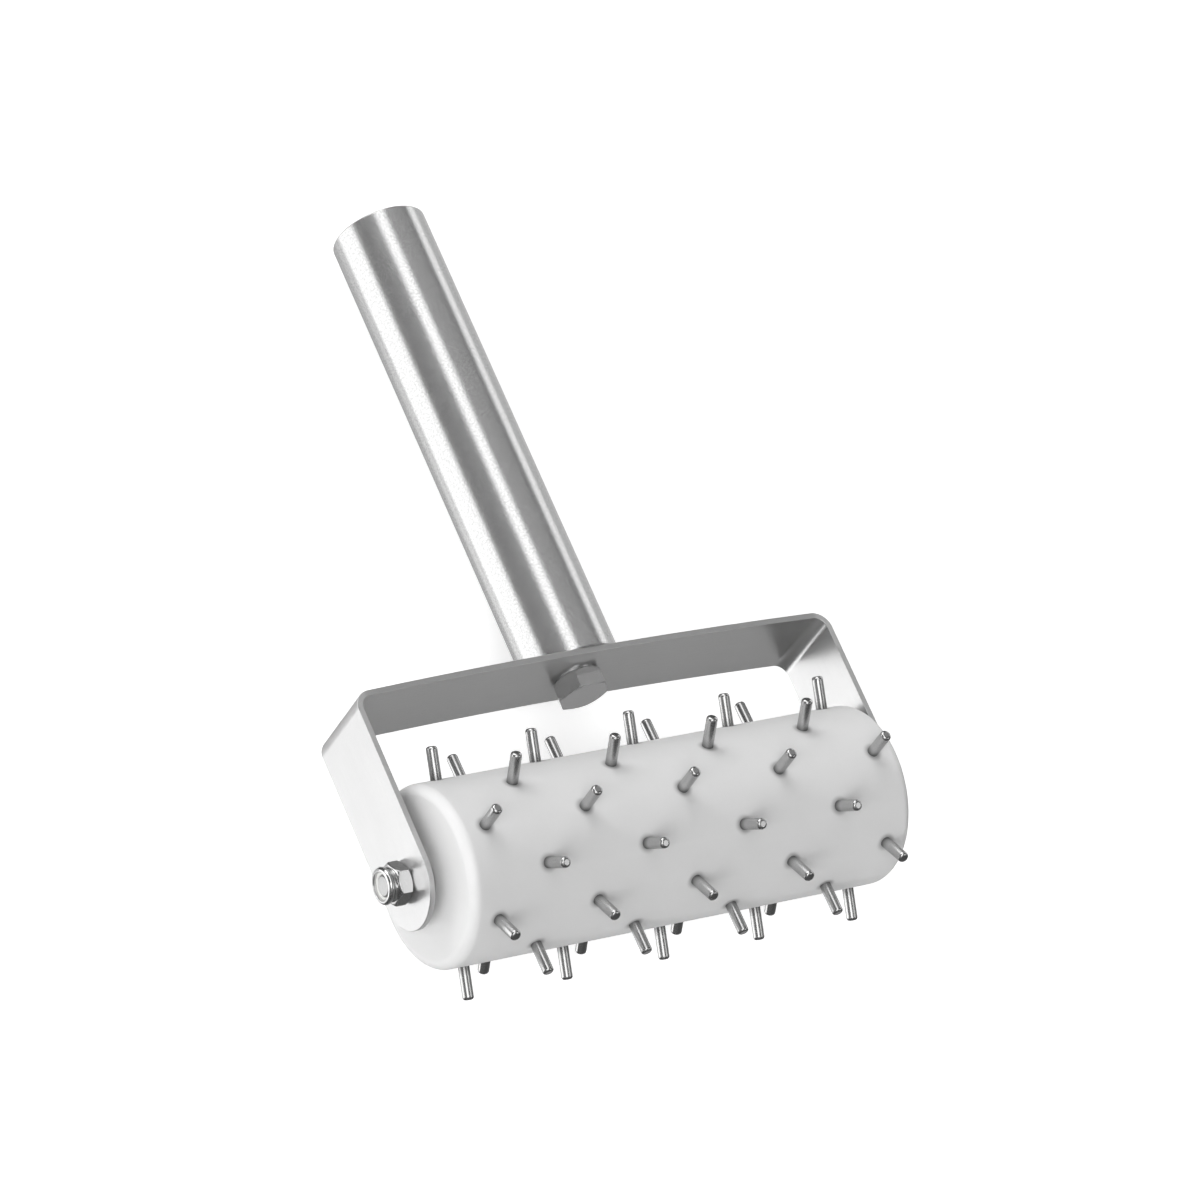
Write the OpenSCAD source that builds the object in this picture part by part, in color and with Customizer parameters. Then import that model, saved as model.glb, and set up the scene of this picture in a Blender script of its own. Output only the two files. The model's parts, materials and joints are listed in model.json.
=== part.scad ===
// Dough docker: a plastic roller set with steel pins, turning on a bolt
// between the arms of a bent steel strip, with a round tubular handle.
// It lies on its back: one row of pins and the far rim of the handle touch
// the floor at z = 0. X is the roller axle, +Y runs along the handle.

/* [Roller] */
// Outer diameter of the roller body
roller_d = 48; // [44:1:52]
// Length of the roller body
roller_len = 136; // [132:1:136]
// Rounding of the two roller edges
roller_edge = 2.6; // [0.6:0.2:3]
// Running clearance between the axle and the roller bore, on the radius
axle_clear = 0.08; // [0.02:0.01:0.1]

/* [Pins] */
// Diameter of each pin
pin_d = 3; // [2.6:0.1:3.4]
// Radius from the roller axis to the pin tips
tip_r = 32.7; // [30:0.1:33.5]
// Radius from the roller axis to the inner pin ends
pin_root_r = 12; // [9:0.5:16]
// Distance between neighbouring pins of one row
pin_pitch = 30; // [28:0.5:31]
// Rounding of the pin tip edge
pin_edge = 0.8; // [0.2:0.1:1.2]
// Turn of the first row away from the handle direction
row_phase = -1.5; // [-8:0.5:8]

/* [Frame strip] */
// Thickness of the strip
strip_t = 1.6; // [1.2:0.1:2]
// Width of the strip
strip_w = 25.4; // [22:0.2:28]
// Width of the frame over the outside of both arms
frame_w = 147.6; // [146.8:0.1:148]
// Height of the middle of the crossbar above the roller axis
bar_z = 50.1; // [48:0.1:56]
// Rise of the crossbar's middle over its ends
bar_bow = 1.3; // [0.8:0.1:3]
// Outside radius of the two bends
bend_r = 5; // [4:0.5:8]

/* [Handle] */
// Outer diameter of the handle tube
handle_d = 26.6; // [24:0.1:30]
// Wall of the handle tube
handle_wall = 1.5; // [1:0.1:2]
// Length of the handle tube
handle_len = 139.6; // [110:0.1:170]

/* [Fasteners] */
// Nominal diameter of the axle bolt
axle_d = 6; // [5:0.5:6]
// Nominal diameter of the handle bolt
bolt_d = 8; // [7:0.5:8]
// Threaded length of the handle bolt under its head
bolt_len = 16; // [12:1:20]

/* [Hidden] */
$fn = 64;

roller_r = roller_d / 2;
axle_r = axle_d / 2;
pin_r = pin_d / 2;
arm_x = frame_w / 2;              // outer face of each arm
arm_in = arm_x - strip_t;         // inner face of each arm
handle_r = handle_d / 2;
handle_in = handle_r - handle_wall;
handle_top = bar_z + handle_len;
bar_under = bar_z - strip_t;      // underside of the crossbar at its middle
rim_f = 0.5;                      // rounding of the handle's far rim
end_gap = 0.35;                   // side play at each end of the roller

// lock nut and bolt head sizes
nut_af = 10;   nut_hex = 4.1;   nut_h = 6.9;
tail = 6.2;                       // bolt end outside the left arm
head6_af = 10; head6_h = 4;
head8_af = 13; head8_h = 5.7;   head8_seat = 0.5;

// resting tilt: the handle rim and the lowest pin row reach equally low
function low_pins(b) = (tip_r - pin_edge) * cos(b - row_phase)
                     + (pin_r - pin_edge) * sin(b - row_phase) + pin_edge;
function low_rim(b) = (handle_r - rim_f) * cos(b)
                    + (handle_top - rim_f) * sin(b) + rim_f;
function solve_tilt(lo, hi, n) =
    n == 0 ? (lo + hi) / 2
           : let (m = (lo + hi) / 2)
             low_rim(m) < low_pins(m) ? solve_tilt(m, hi, n - 1)
                                      : solve_tilt(lo, m, n - 1);
tilt = solve_tilt(0, 20, 40);
axis_z = low_pins(tilt);
far_y = (handle_r - rim_f) * sin(tilt) + (handle_top - rim_f) * cos(tilt) + rim_f;
axis_y = -(far_y - axis_z) / 2;
axis_x = (nut_h - head6_h) / 2;

// crossbar arc: radius and centre of its outer face, and the bend centres
half_bar = arm_x - bend_r;
arc_r = pow(half_bar + 0.2, 2) / (2 * bar_bow) + bar_bow / 2;
arc_z = bar_z - arc_r;
bend_z = arc_z + sqrt(pow(arc_r - bend_r, 2) - pow(half_bar, 2));
arc_a = asin(half_bar / (arc_r - bend_r));

// puts the tool frame (axle on X, handle along +Z) into its resting place
module place()
    translate([axis_x, axis_y, axis_z]) rotate([-(90 + tilt), 0, 0]) children();

// cylinder along +X from x0 to x1
module bar_x(r, x0, x1, n = 64)
    translate([x0, 0, 0]) rotate([0, 90, 0]) cylinder(r = r, h = x1 - x0, $fn = n);

// area enclosed by the frame, drawn in from its outer face by a given amount
module frame_area(inset) {
    intersection() {
        translate([0, arc_z]) circle(r = arc_r - inset, $fn = 1800);
        polygon([[-half_bar, bend_z], [half_bar, bend_z],
                 [half_bar + 12 * sin(arc_a), bend_z + 12 * cos(arc_a)],
                 [-half_bar - 12 * sin(arc_a), bend_z + 12 * cos(arc_a)]]);
    }
    for (s = [-1, 1]) translate([s * half_bar, bend_z])
        circle(r = bend_r - inset, $fn = 64);
    translate([-(arm_x - inset), -20]) square([2 * (arm_x - inset), bend_z + 20]);
}

module yoke_frame() color("silver") place() difference() {
    union() {
        translate([0, strip_w / 2, 0]) rotate([90, 0, 0])
            linear_extrude(strip_w) intersection() {
                difference() { frame_area(0); frame_area(strip_t); }
                translate([-100, 0]) square([200, 100]);
            }
        bar_x(strip_w / 2, -arm_x, -arm_in, 96);
        bar_x(strip_w / 2, arm_in, arm_x, 96);
    }
    bar_x(axle_r + 0.15, -arm_x - 1, -arm_in + 1);
    bar_x(axle_r + 0.15, arm_in - 1, arm_x + 1);
    translate([0, 0, bar_under - 2]) cylinder(r = bolt_d / 2 + 0.2, h = 6);
}

module handle_tube() color("gainsboro") place() translate([0, 0, bar_z])
    difference() {
        rotate_extrude($fn = 96) {
            polygon([[0, 0], [handle_r - 0.4, 0], [handle_r, 0.4],
                     [handle_r, handle_len - rim_f], [0, handle_len - rim_f]]);
            square([handle_r - rim_f, handle_len]);
            translate([handle_r - rim_f, handle_len - rim_f]) circle(r = rim_f);
        }
        translate([0, 0, -1]) cylinder(r = handle_in, h = handle_len + 2, $fn = 96);
    }

module handle_end_cap() color("gainsboro") place()
    translate([0, 0, handle_top - 2.4]) rotate_extrude($fn = 96)
        polygon([[0, 0], [handle_in, 0], [handle_in, 2.1], [handle_in - 0.3, 2.4], [0, 2.4]]);

module handle_threaded_plug() color("darkgray") place()
    translate([0, 0, bar_z]) difference() {
        cylinder(r = handle_in, h = 20, $fn = 96);
        translate([0, 0, -1]) cylinder(r = bolt_d / 2, h = 22);
    }

// hexagonal prism with both faces chamfered round; it stands on z = 0
module hex_head(af, h, lower, upper, seat_r, face_r)
    intersection() {
        cylinder(r = af / 2 / cos(30), h = h, $fn = 6);
        rotate_extrude($fn = 64) polygon([[0, 0], [seat_r, 0], [af / 2 / cos(30) + 0.1, lower],
            [af / 2 / cos(30) + 0.1, h - upper], [face_r, h], [0, h]]);
    }

module handle_bolt() color("silver") place() {
    translate([0, 0, bar_under - 0.03]) mirror([0, 0, 1]) {
        cylinder(r = 5.9, h = head8_seat);
        translate([0, 0, head8_seat]) rotate([0, 0, 58])
            hex_head(head8_af, head8_h, 1.3, 0.4, 6.0, 6.4);
    }
    translate([0, 0, bar_under - 0.5]) cylinder(r = bolt_d / 2, h = bolt_len);
    translate([0, 0, bar_under - 0.5 + bolt_len])
        cylinder(r1 = bolt_d / 2, r2 = bolt_d / 2 - 0.8, h = 0.8);
}

module axle_bolt() color("silver") place() {
    bar_x(axle_r, -(arm_x + tail) + 0.5, arm_x + 1);
    translate([-(arm_x + tail), 0, 0]) rotate([0, 90, 0])
        cylinder(r1 = axle_r - 0.5, r2 = axle_r, h = 0.5);
    translate([arm_x, 0, 0]) rotate([0, 90, 0])
        hex_head(head6_af, head6_h, 0.2, 0.7, 5.2, 4.75);
}

module axle_lock_nut() color("silver") place()
    translate([-arm_x, 0, 0]) rotate([0, -90, 0]) difference() {
        union() {
            rotate([0, 0, 36.5]) hex_head(nut_af, nut_hex, 0.75, 0.75, 4.7, 4.75);
            rotate_extrude($fn = 64) {
                square([4.45, nut_h - 1]);
                square([3.95, nut_h - 0.1]);
                translate([3.95, nut_h - 0.95]) circle(r = 0.95, $fn = 48);
            }
        }
        translate([0, 0, -1]) cylinder(r = axle_r, h = nut_h + 2);
        translate([0, 0, 4.0]) cylinder(r = 4.05, h = 1.9);
        translate([0, 0, 5.8]) cylinder(r = 3.7, h = 2);
    }

module lock_nut_insert() color("white") place()
    translate([-arm_x, 0, 0]) rotate([0, -90, 0]) translate([0, 0, 4.0]) difference() {
        cylinder(r = 4.05, h = 1.9);
        translate([0, 0, -1]) cylinder(r = axle_r, h = 4);
    }

// collar between the roller end and an arm; side is -1 for left, 1 for right
module spacer(side)
    difference() {
        x0 = roller_len / 2 + end_gap;
        if (side < 0) bar_x(6, -arm_in, -x0);
        else bar_x(6, x0, arm_in);
        bar_x(axle_r + 0.1, -arm_x, arm_x);
    }

module spacer_left() color("whitesmoke") place() spacer(-1);
module spacer_right() color("whitesmoke") place() spacer(1);

// positions of the pins of row k along the axle: rows of 5 and rows of 4 alternate
function pin_xs(k) = k % 2 == 0 ? [for (j = [-1.5:1:1.5]) j * pin_pitch]
                                : [for (j = [-2:1:2]) j * pin_pitch];
// turns +Z to the direction of row k
module to_row(k) rotate([row_phase + 30 * k, 0, 0]) children();

module roller_body() color("whitesmoke") place() difference() {
    rotate([0, 90, 0]) translate([0, 0, -roller_len / 2]) rotate_extrude($fn = 96) {
        translate([0, roller_edge]) square([roller_r, roller_len - 2 * roller_edge]);
        square([roller_r - roller_edge, roller_len]);
        for (y = [roller_edge, roller_len - roller_edge])
            translate([roller_r - roller_edge, y]) circle(r = roller_edge, $fn = 48);
    }
    bar_x(axle_r + axle_clear, -roller_len, roller_len);
    for (k = [0:11]) to_row(k) for (x = pin_xs(k))
        translate([x, 0, pin_root_r]) cylinder(r = pin_r, h = tip_r, $fn = 32);
}

// one pin with a rounded tip edge, standing on its root at z = 0
module pin() rotate_extrude($fn = 32) intersection() {
    square([pin_r, tip_r - pin_root_r]);
    union() {
        square([pin_r, tip_r - pin_root_r - pin_edge]);
        square([pin_r - pin_edge, tip_r - pin_root_r]);
        translate([pin_r - pin_edge, tip_r - pin_root_r - pin_edge]) circle(r = pin_edge, $fn = 32);
    }
}

module pins_row(k) color("gray") place() to_row(k)
    for (x = pin_xs(k)) translate([x, 0, pin_root_r]) pin();

yoke_frame();
handle_tube();
handle_end_cap();
handle_threaded_plug();
handle_bolt();
axle_bolt();
axle_lock_nut();
lock_nut_insert();
spacer_left();
spacer_right();
roller_body();
pins_row(0);  // pins_row_01
pins_row(1);  // pins_row_02
pins_row(2);  // pins_row_03
pins_row(3);  // pins_row_04
pins_row(4);  // pins_row_05
pins_row(5);  // pins_row_06
pins_row(6);  // pins_row_07
pins_row(7);  // pins_row_08
pins_row(8);  // pins_row_09
pins_row(9);  // pins_row_10
pins_row(10);  // pins_row_11
pins_row(11);  // pins_row_12
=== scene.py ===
import json
import math
import bmesh
import bpy
from mathutils import Matrix, Vector


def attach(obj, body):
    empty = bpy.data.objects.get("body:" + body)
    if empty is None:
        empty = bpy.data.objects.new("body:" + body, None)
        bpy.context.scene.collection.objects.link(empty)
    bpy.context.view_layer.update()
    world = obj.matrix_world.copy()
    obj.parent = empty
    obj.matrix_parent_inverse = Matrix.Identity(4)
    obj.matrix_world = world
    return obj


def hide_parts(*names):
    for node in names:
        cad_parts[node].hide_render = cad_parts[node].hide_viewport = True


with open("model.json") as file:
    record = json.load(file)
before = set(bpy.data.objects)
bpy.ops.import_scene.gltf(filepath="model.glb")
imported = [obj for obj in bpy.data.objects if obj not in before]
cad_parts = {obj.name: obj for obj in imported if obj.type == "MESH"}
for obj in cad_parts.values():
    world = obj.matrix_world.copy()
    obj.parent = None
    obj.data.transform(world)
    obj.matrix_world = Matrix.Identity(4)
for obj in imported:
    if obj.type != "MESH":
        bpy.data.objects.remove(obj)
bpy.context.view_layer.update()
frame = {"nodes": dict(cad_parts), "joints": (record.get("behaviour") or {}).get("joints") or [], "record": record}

scene = bpy.context.scene
N = frame["nodes"]
REC = frame["record"]

# The tool's own frame: X along the axle, Z along the handle, Y away from the
# side that faces up.  The tool lies tilted on the floor.
axle = Vector(frame["joints"][0]["pos_m"])
along = Vector(REC["mounts"][0]["axis"]).normalized()      # handle direction
side = Vector((1, 0, 0))
depth = along.cross(side)                                  # tool +Y, points down
tilt = math.asin(-along.z)


def spot(x, y, z):
    """A point of the tool's frame, in millimetres, as a point of the scene."""
    return axle + (side * x + depth * y + along * z) / 1000.0


# ---------------------------------------------------------------- camera
cam_data = bpy.data.cameras.new("camera")
cam_data.sensor_fit = "HORIZONTAL"
cam_data.sensor_width = 36.0
cam_data.lens = 183.956
cam_data.clip_start, cam_data.clip_end = 0.05, 50.0
cam = bpy.data.objects.new("camera", cam_data)
scene.collection.objects.link(cam)
cam.matrix_world = Matrix(((0.835922, 0.141047, -0.530415, -0.844174),
                           (-0.337450, 0.894249, -0.294017, -0.488102),
                           (0.432854, 0.424764, 0.795119, 1.318794),
                           (0.0, 0.0, 0.0, 1.0)))
scene.camera = cam
scene.view_settings.view_transform = "Standard"


# ---------------------------------------------------------------- node helper
class Graph:
    """Short calls that add nodes to a material's or the world's node tree."""

    def __init__(self, tree):
        self.t = tree
        self.t.nodes.clear()

    def put(self, sock, value):
        if isinstance(value, bpy.types.NodeSocket):
            self.t.links.new(value, sock)
        elif isinstance(value, (tuple, list)) and sock.type == "RGBA" and len(value) == 3:
            sock.default_value = (*value, 1.0)
        else:
            sock.default_value = value

    def node(self, kind, ins=(), **props):
        n = self.t.nodes.new(kind)
        for k, v in props.items():
            setattr(n, k, v)
        for k, v in dict(ins).items():
            self.put(n.inputs[k], v)
        return n

    def math(self, op, a, b=0.0, c=0.0, clamp=False):
        n = self.node("ShaderNodeMath", {0: a, 1: b, 2: c}, operation=op, use_clamp=clamp)
        return n.outputs[0]

    def vmath(self, op, a, b=(0, 0, 0)):
        n = self.node("ShaderNodeVectorMath", {0: a, 1: b}, operation=op)
        return n.outputs["Value"] if op in ("DOT_PRODUCT", "LENGTH") else n.outputs["Vector"]

    def step(self, v, lo, hi, a=0.0, b=1.0, smooth=True):
        n = self.node("ShaderNodeMapRange", {"Value": v, "From Min": lo, "From Max": hi, "To Min": a, "To Max": b},
                      interpolation_type="SMOOTHSTEP" if smooth else "LINEAR")
        return n.outputs["Result"]

    def noise(self, vec, scale=1.0, detail=2.0, rough=0.5, dist=0.0):
        n = self.node("ShaderNodeTexNoise", {"Vector": vec, "Scale": scale, "Detail": detail, "Roughness": rough,
                                             "Distortion": dist})
        return n.outputs["Fac"]

    def mix(self, f, a, b):
        n = self.node("ShaderNodeMix", {"Factor": f}, data_type="RGBA")
        self.put(n.inputs[6], a)
        self.put(n.inputs[7], b)
        return n.outputs[2]

    def scale(self, vec, s):
        return self.vmath("MULTIPLY", vec, s)

    def tool_mm(self):
        """The surface point in the tool's own frame, in millimetres."""
        obj = self.node("ShaderNodeTexCoord").outputs["Object"]
        rel = self.node("ShaderNodeVectorMath", {0: obj, 1: tuple(axle)}, operation="SUBTRACT").outputs["Vector"]
        x = self.math("MULTIPLY", self.vmath("DOT_PRODUCT", rel, tuple(side)), 1000.0)
        y = self.math("MULTIPLY", self.vmath("DOT_PRODUCT", rel, tuple(depth)), 1000.0)
        z = self.math("MULTIPLY", self.vmath("DOT_PRODUCT", rel, tuple(along)), 1000.0)
        return x, y, z

    def vec(self, x, y, z):
        return self.node("ShaderNodeCombineXYZ", {0: x, 1: y, 2: z}).outputs[0]


# ---------------------------------------------------------------- studio
def studio():
    w = bpy.data.worlds.new("studio")
    scene.world = w
    w.use_nodes = True
    g = Graph(w.node_tree)
    d = g.vmath("NORMALIZE", g.node("ShaderNodeTexCoord").outputs["Generated"])

    def softbox(c, width_dir, half_w, half_h, edge, value):
        c = Vector(c).normalized()
        a = Vector(width_dir)
        a = (a - c * a.dot(c)).normalized()
        b = c.cross(a)
        front = g.vmath("DOT_PRODUCT", d, tuple(c))
        safe = g.math("MAXIMUM", front, 0.001)
        px = g.math("ABSOLUTE", g.math("DIVIDE", g.vmath("DOT_PRODUCT", d, tuple(a)), safe))
        py = g.math("ABSOLUTE", g.math("DIVIDE", g.vmath("DOT_PRODUCT", d, tuple(b)), safe))
        m = g.math("MULTIPLY", g.step(px, half_w + edge, half_w - edge, 0.0, 1.0),
                   g.step(py, half_h + edge, half_h - edge, 0.0, 1.0))
        m = g.math("MULTIPLY", m, g.math("GREATER_THAN", front, 0.01))
        return g.math("MULTIPLY", m, value)

    height = g.node("ShaderNodeSeparateXYZ", {0: d}).outputs[2]
    total = g.step(height, -0.05, 0.05, LOW, BASE)
    steel = g.node("ShaderNodeLightPath").outputs["Is Glossy Ray"]
    for c, width_dir, half_w, half_h, edge, value, mirrored in SOFTBOXES:
        box = softbox(c, width_dir, half_w, half_h, edge, value)
        if mirrored != 1.0:
            box = g.math("MULTIPLY", box, g.step(steel, 0.0, 1.0, 1.0, mirrored, smooth=False))
        total = g.math("ADD", total, box)
    total = g.math("MULTIPLY", total, g.step(steel, 0.0, 1.0, 1.0, MIRRORED, smooth=False))
    sky = g.node("ShaderNodeBackground", {"Color": (1.0, 1.0, 1.0), "Strength": total})
    pale = g.node("ShaderNodeBackground", {"Color": (1.0, 1.0, 1.0), "Strength": 1.0})
    seen = g.node("ShaderNodeLightPath").outputs["Is Camera Ray"]
    both = g.node("ShaderNodeMixShader", {0: seen, 1: sky.outputs[0], 2: pale.outputs[0]})
    g.node("ShaderNodeOutputWorld", {"Surface": both.outputs[0]})


BASE = 0.06      # dim room above the table
LOW = 0.06       # and below the table's edge, for what the steel mirrors
MIRRORED = 1.78 # the whole studio's strength in mirror rays
SOFTBOXES = [
    # centre, width direction, half width, half height (tangents), soft edge, radiance,
    # and how much of it the steel mirrors
    ((-0.215, 0.25, 0.93), (1, 0, 0), 0.20, 0.75, 0.12, 1.2, 1.0),        # long strip overhead
    ((-0.85, -0.40, 0.42), (0.4, -0.85, 0), 0.32, 0.32, 0.10, 4.8, 0.01), # softbox at the left
    ((-0.52, -0.33, 0.79), (0.4, -0.85, 0), 0.22, 0.22, 0.08, 5.4, 0.3),  # fill beside the camera
    ((-0.22, 0.88, 0.42), (1, 0, 0), 0.42, 0.24, 0.08, 5.4, 0.35),        # wide softbox behind
    ((-0.35, -0.65, 0.70), (1, 0, 0), 0.30, 0.30, 0.08, 0.6, 0.3),        # softbox over the front
    ((0.42, 0.47, 0.77), (1, 0, 0), 0.34, 0.20, 0.12, 0.18, 1.0),         # dim card over the right
    ((0.88, 0.39, 0.24), (0, 1, 0), 0.50, 0.17, 0.08, 1.0, 1.0),          # low strip at the right
    ((0.69, -0.43, 0.58), (0, 1, 0), 0.25, 0.20, 0.10, 0.35, 1.0),        # faint card at the front right
    ((0.50, -0.50, 0.70), (1, 0, 0), 0.14, 0.14, 0.08, 1.2, 1.0),         # small card for the pins' tips
    # cards below the horizon, which only the steel sees
    ((-0.85, 0.38, -0.40), (0, 1, 0), 0.45, 0.46, 0.10, 1.20, 1.0),       # white card at the left
    ((-0.54, 0.09, -0.83), (0, 1, 0), 0.23, 0.32, 0.10, 0.68, 1.0),       # its near end
    ((0.00, 0.42, -0.90), (1, 0, 0), 0.58, 0.42, 0.10, 0.36, 1.0),        # grey card under the handle
    ((0.72, 0.30, -0.64), (0, 1, 0), 0.35, 0.20, 0.08, 0.50, 1.0),        # small white card at the right
    ((0.90, 0.35, -0.25), (0, 1, 0), 0.45, 0.28, 0.08, 0.42, 1.0),        # grey card at the right
    ((0.50, -0.50, -0.70), (1, 0, 0), 0.45, 0.45, 0.35, 0.20, 1.0),       # dim card at the front right
]
studio()

mesh = bpy.data.meshes.new("floor")
s = 3.0
mesh.from_pydata([(-s, -s, 0), (s, -s, 0), (s, s, 0), (-s, s, 0)], [], [(0, 1, 2, 3)])
floor = bpy.data.objects.new("floor", mesh)
scene.collection.objects.link(floor)
m = bpy.data.materials.new("floor_pale")
m.use_nodes = True
g = Graph(m.node_tree)
lit, seen = [g.node("ShaderNodeBsdfPrincipled", {"Base Color": (0.82, 0.82, 0.82), "Roughness": 0.85,
                                                 "Emission Color": (1.0, 1.0, 1.0), "Emission Strength": e})
             for e in (0.10, 0.50)]
both = g.node("ShaderNodeMixShader", {0: g.node("ShaderNodeLightPath").outputs["Is Camera Ray"],
                                      1: lit.outputs[0], 2: seen.outputs[0]})
g.node("ShaderNodeOutputMaterial", {"Surface": both.outputs[0]})
floor.visible_glossy = False      # the steel mirrors the cards of the studio, not the table
mesh.materials.append(m)


# ---------------------------------------------------------------- materials
def metal(name, coords, tint, rough, haze, share, streak_w, streak_l, bump=0.0, patch=0.02, band=0.10, aniso=0.0,
          painted_shade=None, speck=0.0):
    """Steel with fine streaks: coords makes (across, through, along) in millimetres,
    and where the grain spreads the gloss sideways, the direction of that spread.
    An optional mask marks where painted shade darkens the steel, such as where it enters plastic."""
    mat = bpy.data.materials.new(name)
    mat.use_nodes = True
    g = Graph(mat.node_tree)
    a, t, l, *spread = coords(g)
    fine = g.noise(g.vec(g.math("MULTIPLY", a, 1 / streak_w), g.math("MULTIPLY", t, 1 / streak_w),
                         g.math("MULTIPLY", l, 1 / streak_l)), 1.0, 3.0, 0.6)
    broad = g.noise(g.vec(g.math("MULTIPLY", a, 0.16 / streak_w), g.math("MULTIPLY", t, 0.16 / streak_w),
                          g.math("MULTIPLY", l, 0.3 / streak_l)), 1.0, 2.0, 0.5)
    cloud = g.noise(g.vec(g.math("MULTIPLY", a, 0.09), g.math("MULTIPLY", t, 0.09),
                          g.math("MULTIPLY", l, 0.05)), 1.0, 3.0, 0.55)
    # most of the surface is smooth, and a share of its microscopic grains scatters widely
    cell = g.node("ShaderNodeVectorMath", {0: g.vec(g.math("MULTIPLY", a, 60.0), g.math("MULTIPLY", t, 60.0),
                                                    g.math("MULTIPLY", l, 60.0))}, operation="FLOOR").outputs["Vector"]
    grain = g.node("ShaderNodeTexWhiteNoise", {"Vector": cell}).outputs["Value"]
    wide = g.math("LESS_THAN", grain, share)
    r = g.math("ADD", g.math("MULTIPLY", wide, haze), rough)
    r = g.math("ADD", r, g.math("MULTIPLY", g.math("SUBTRACT", broad, 0.5), 0.05))
    r = g.math("ADD", r, g.math("MULTIPLY", g.math("SUBTRACT", cloud, 0.5), 0.06))
    if len(spread) > 1:
        r = g.math("MAXIMUM", r, spread[1])
    shade = g.math("ADD", g.math("MULTIPLY", g.math("SUBTRACT", broad, 0.5), band),
                   g.math("MULTIPLY", g.math("SUBTRACT", cloud, 0.5), patch * 2))
    if speck:
        shade = g.math("ADD", shade, g.math("MULTIPLY", g.math("SUBTRACT", fine, 0.5), speck * 10))
    col = g.mix(g.math("ADD", 0.5, shade, clamp=True), tuple(c * 0.86 for c in tint), tuple(min(1, c * 1.08) for c in tint))
    # painted shade: where the mask is set, the colour darkens towards a quarter of the tint
    if painted_shade:
        col = g.mix(g.math("MINIMUM", painted_shade(g), 1.0), col, tuple(c * 0.25 for c in tint))
    ins = {"Base Color": col, "Metallic": 1.0, "Roughness": r, "Specular Tint": (0.75, 0.75, 0.75)}
    if spread:
        ins["Anisotropic"] = aniso
        ins["Tangent"] = spread[0]
    if bump:
        bn = g.node("ShaderNodeBump", {"Strength": bump, "Distance": 0.00002, "Height": fine})
        ins["Normal"] = bn.outputs[0]
    p = g.node("ShaderNodeBsdfPrincipled", ins)
    g.node("ShaderNodeOutputMaterial", {"Surface": p.outputs[0]})
    return mat


def strip_coords(g):
    """The grain follows the strip: along X in the crossbar, along Z in the arms."""
    x, y, z = g.tool_mm()
    arm = g.math("GREATER_THAN", g.math("ABSOLUTE", x), 70.0)
    bar = g.math("SUBTRACT", 1.0, arm)
    across = g.math("ADD", y, g.math("ADD", g.math("MULTIPLY", arm, x), g.math("MULTIPLY", bar, z)))
    run = g.math("ADD", g.math("MULTIPLY", arm, z), g.math("MULTIPLY", bar, x))
    grain = g.vmath("ADD", g.scale(g.vec(arm, arm, arm), tuple(along)), g.scale(g.vec(bar, bar, bar), tuple(side)))
    normal = g.node("ShaderNodeNewGeometry").outputs["Normal"]
    cut = g.step(g.math("ABSOLUTE", g.vmath("DOT_PRODUCT", normal, tuple(depth))), 0.5, 0.9)   # ground long edges
    return across, 0.0, run, g.vmath("CROSS_PRODUCT", normal, grain), g.math("MULTIPLY", cut, 0.40)


def handle_coords(g):
    x, y, z = g.tool_mm()
    ang = g.math("MULTIPLY", g.math("ARCTAN2", y, x), 13.3)
    return ang, 0.0, z


def turned_coords(g):
    """Fine rings about the axle, as a lathe leaves them."""
    x, y, z = g.tool_mm()
    r = g.math("SQRT", g.math("ADD", g.math("MULTIPLY", y, y), g.math("MULTIPLY", z, z)))
    return g.math("ADD", x, r), 0.0, g.math("MULTIPLY", g.math("ARCTAN2", y, z), 8.0)


def bolt_coords(g):
    x, y, z = g.tool_mm()
    r = g.math("SQRT", g.math("ADD", g.math("MULTIPLY", y, y), g.math("MULTIPLY", x, x)))
    return g.math("MULTIPLY", g.math("ARCTAN2", y, x), 7.0), r, z


def pin_coords(g):
    x, y, z = g.tool_mm()
    r = g.math("SQRT", g.math("ADD", g.math("MULTIPLY", y, y), g.math("MULTIPLY", z, z)))
    return x, g.math("MULTIPLY", g.math("ARCTAN2", y, z), 30.0), r


def pin_root_shade(g):
    """Painted shade on a pin where it leaves the roller's surface, darkest at the surface."""
    return g.step(pin_coords(g)[2], 24.0, 27.0, 0.65, 0.0)



PIN_TURN = -1.5      # turn of the first row of pins away from the handle, in degrees


def pin_feet_shade(g):
    """Painted shade on the roller's surface close to a pin: rows of four and of five pins alternate every 30 degrees.
    """
    x, y, z = g.tool_mm()
    turn = g.math("MULTIPLY", g.math("ARCTAN2", g.math("MULTIPLY", y, -1.0), z), 180.0 / math.pi)
    away = []
    for row, shift in ((PIN_TURN, 15.0), (PIN_TURN + 30.0, 0.0)):
        around = g.math("MULTIPLY", g.math("WRAP", g.math("SUBTRACT", turn, row), 30.0, -30.0), math.pi / 180.0 * 24.0)
        aside = g.math("WRAP", g.math("SUBTRACT", x, shift), 15.0, -15.0)
        away.append(g.math("SQRT", g.math("ADD", g.math("MULTIPLY", around, around), g.math("MULTIPLY", aside, aside))))
    return g.step(g.math("MINIMUM", away[0], away[1]), 1.3, 3.1, 0.60, 0.0)


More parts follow.
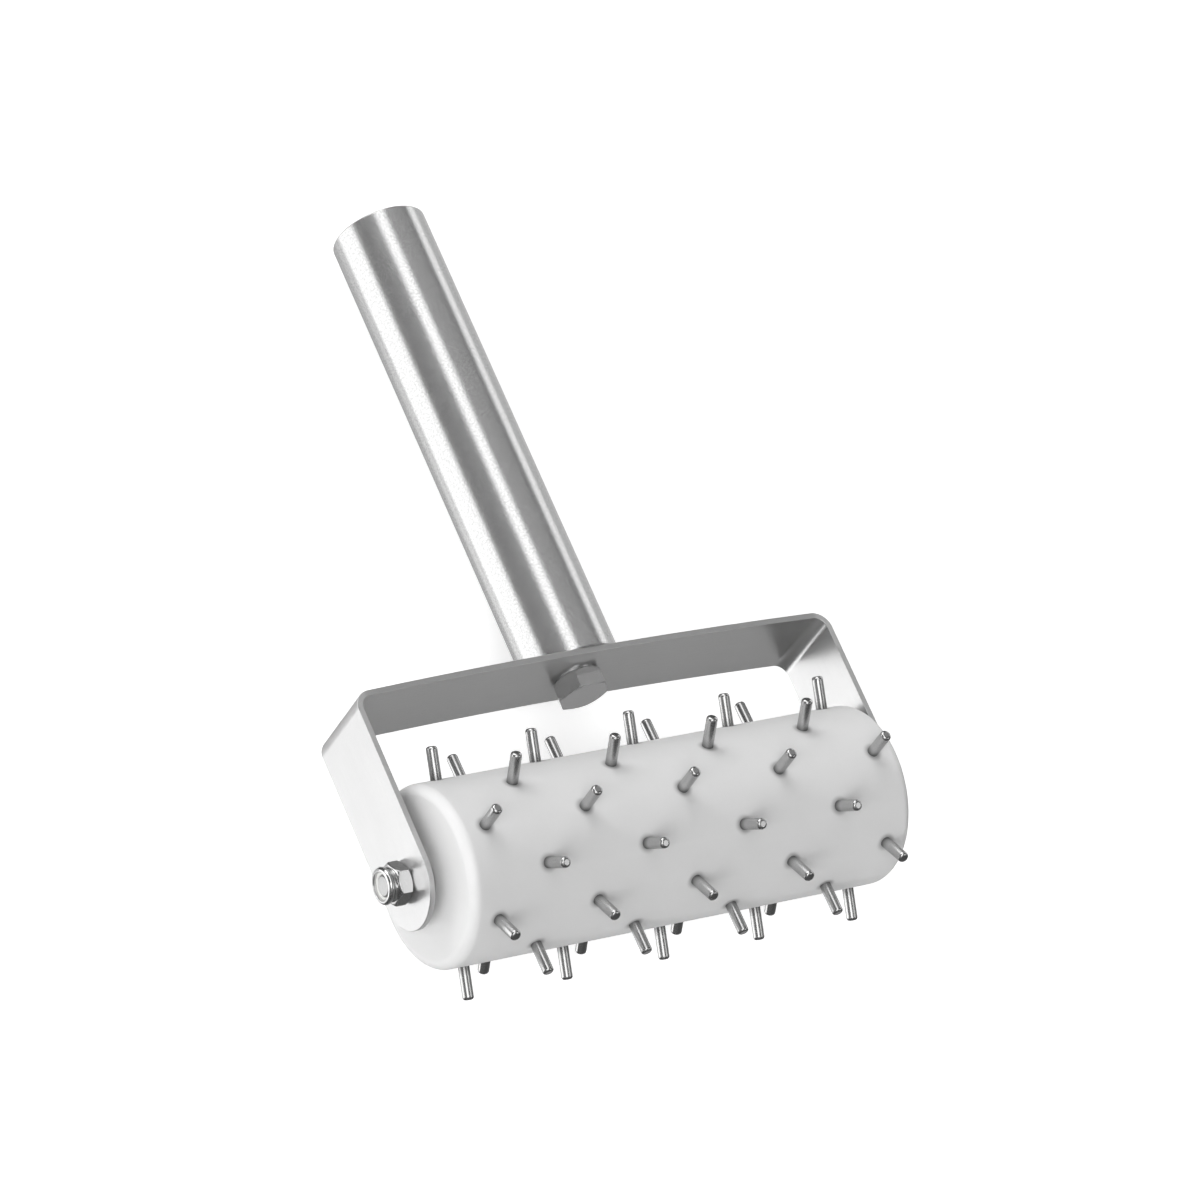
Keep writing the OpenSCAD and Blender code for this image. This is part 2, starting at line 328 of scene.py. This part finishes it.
def plastic(name, tint, rough, scatter, grain, painted_shade=None):
    """Milky white plastic with a faint mottle, turned on a lathe."""
    mat = bpy.data.materials.new(name)
    mat.use_nodes = True
    g = Graph(mat.node_tree)
    x, y, z = g.tool_mm()
    p3 = g.vec(x, y, z)
    r = g.math("SQRT", g.math("ADD", g.math("MULTIPLY", y, y), g.math("MULTIPLY", z, z)))
    rings = g.noise(g.vec(g.math("MULTIPLY", g.math("ADD", x, r), 2.4), 0.0,
                          g.math("MULTIPLY", g.math("ARCTAN2", y, z), 0.6)), 1.0, 2.0, 0.5)
    mottle = g.noise(p3, 0.11, 4.0, 0.6)
    speck = g.noise(p3, 1.9, 2.0, 0.5)
    f = g.math("ADD", g.math("MULTIPLY", mottle, 0.6), g.math("MULTIPLY", speck, 0.4))
    col = g.mix(f, tuple(c * 0.97 for c in tint), tuple(min(1, c * 1.03) for c in tint))
    # painted shade: where the mask is set, the colour darkens towards 0.3 of the tint
    if painted_shade:
        col = g.mix(painted_shade(g), col, tuple(c * 0.30 for c in tint))
    ro = g.math("ADD", rough, g.math("MULTIPLY", g.math("SUBTRACT", rings, 0.5), 0.18))
    h = g.math("ADD", g.math("MULTIPLY", rings, 0.7), g.math("MULTIPLY", speck, 0.3))
    bn = g.node("ShaderNodeBump", {"Strength": grain, "Distance": 0.00003, "Height": h})
    ins = {"Base Color": col, "Roughness": ro, "Normal": bn.outputs[0], "IOR": 1.5}
    if scatter:
        ins["Subsurface Weight"] = scatter
        ins["Subsurface Radius"] = (1.0, 1.0, 1.0)
        ins["Subsurface Scale"] = 0.004
    p = g.node("ShaderNodeBsdfPrincipled", ins)
    g.node("ShaderNodeOutputMaterial", {"Surface": p.outputs[0]})
    return mat


SLOT = {
    "strip_steel": metal("m_strip", strip_coords, (0.62, 0.62, 0.62), 0.30, 0.35, 0.24, 0.15, 14.0, 0.0, patch=0.16,
                         band=0.16, aniso=0.4, speck=0.08),
    "handle_steel": metal("m_handle", handle_coords, (0.55, 0.55, 0.55), 0.21, 0.47, 0.26, 0.60, 0.60, 0.0, band=0.06,
                          speck=0.35),
    "cap_steel": metal("m_cap", bolt_coords, (0.52, 0.52, 0.52), 0.20, 0.50, 0.35, 0.06, 10.0),
    "plug_steel": metal("m_plug", bolt_coords, (0.40, 0.40, 0.40), 0.30, 0.3, 0.4, 0.1, 5.0),
    "head_bolt_steel": metal("m_head", bolt_coords, (0.62, 0.62, 0.62), 0.16, 0.40, 0.12, 0.25, 6.0, 0.0, band=0.30),
    "axle_steel": metal("m_axle", turned_coords, (0.52, 0.52, 0.52), 0.20, 0.40, 0.35, 0.08, 6.0),
    "nut_steel": metal("m_nut", turned_coords, (0.60, 0.60, 0.60), 0.14, 0.30, 0.10, 0.10, 6.0),
    "nylon": plastic("m_nylon", (0.82, 0.82, 0.80), 0.5, 0.0, 0.1),
    "spacer_plastic": plastic("m_spacer", (0.70, 0.70, 0.69), 0.5, 0.0, 0.1),
    # the roller carries painted shade around each pin
    "roller_plastic": plastic("m_roller", (0.65, 0.65, 0.65), 0.48, 0.5, 0.12, painted_shade=pin_feet_shade),
    # the pins carry painted shade where they leave the roller
    "pin_steel": metal("m_pin", pin_coords, (0.50, 0.50, 0.50), 0.26, 0.0, 0.0, 0.20, 3.0, patch=0.0, band=0.05,
                       painted_shade=pin_root_shade),
}
slot_of = {p["node"]: p["material_slot"] for p in REC["subparts"]}
for name, o in N.items():
    o.data.materials.clear()
    o.data.materials.append(SLOT[slot_of[name]])
    for poly in o.data.polygons:
        poly.material_index = 0

# ---------------------------------------------------------------- rounded edges
def rounded(name, size, segments=3):
    """The node's own shape with each sharp edge rounded by size, in millimetres."""
    bm = bmesh.new()
    bm.from_mesh(N[name].data)
    bmesh.ops.remove_doubles(bm, verts=bm.verts, dist=1e-6)
    bmesh.ops.dissolve_limit(bm, angle_limit=math.radians(0.02), verts=bm.verts, edges=bm.edges)
    sharp = [e for e in bm.edges if len(e.link_faces) == 2 and e.calc_face_angle(0.0) > math.radians(35)]
    bmesh.ops.bevel(bm, geom=sharp, offset=size / 1000.0, offset_type="OFFSET", segments=segments,
                    profile=0.5, affect="EDGES", clamp_overlap=True)
    me = bpy.data.meshes.new(name + "_finished")
    bm.to_mesh(me)
    bm.free()
    me.materials.append(SLOT[slot_of[name]])
    for poly in me.polygons:
        poly.use_smooth = True
        poly.material_index = 0
    me.set_sharp_from_angle(angle=math.radians(50))
    piece = bpy.data.objects.new(name + "_finished", me)
    scene.collection.objects.link(piece)
    flat = piece.modifiers.new("flat faces stay flat", "WEIGHTED_NORMAL")
    flat.keep_sharp, flat.weight = True, 90
    body = next(b for b, names in REC["behaviour"]["bodies"].items() if name in names)
    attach(piece, body)
    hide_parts(name)
    return piece


for name, size in (("yoke_frame", 0.50), ("handle_bolt", 0.30), ("axle_lock_nut", 0.12), ("axle_bolt", 0.12)):
    rounded(name, size)
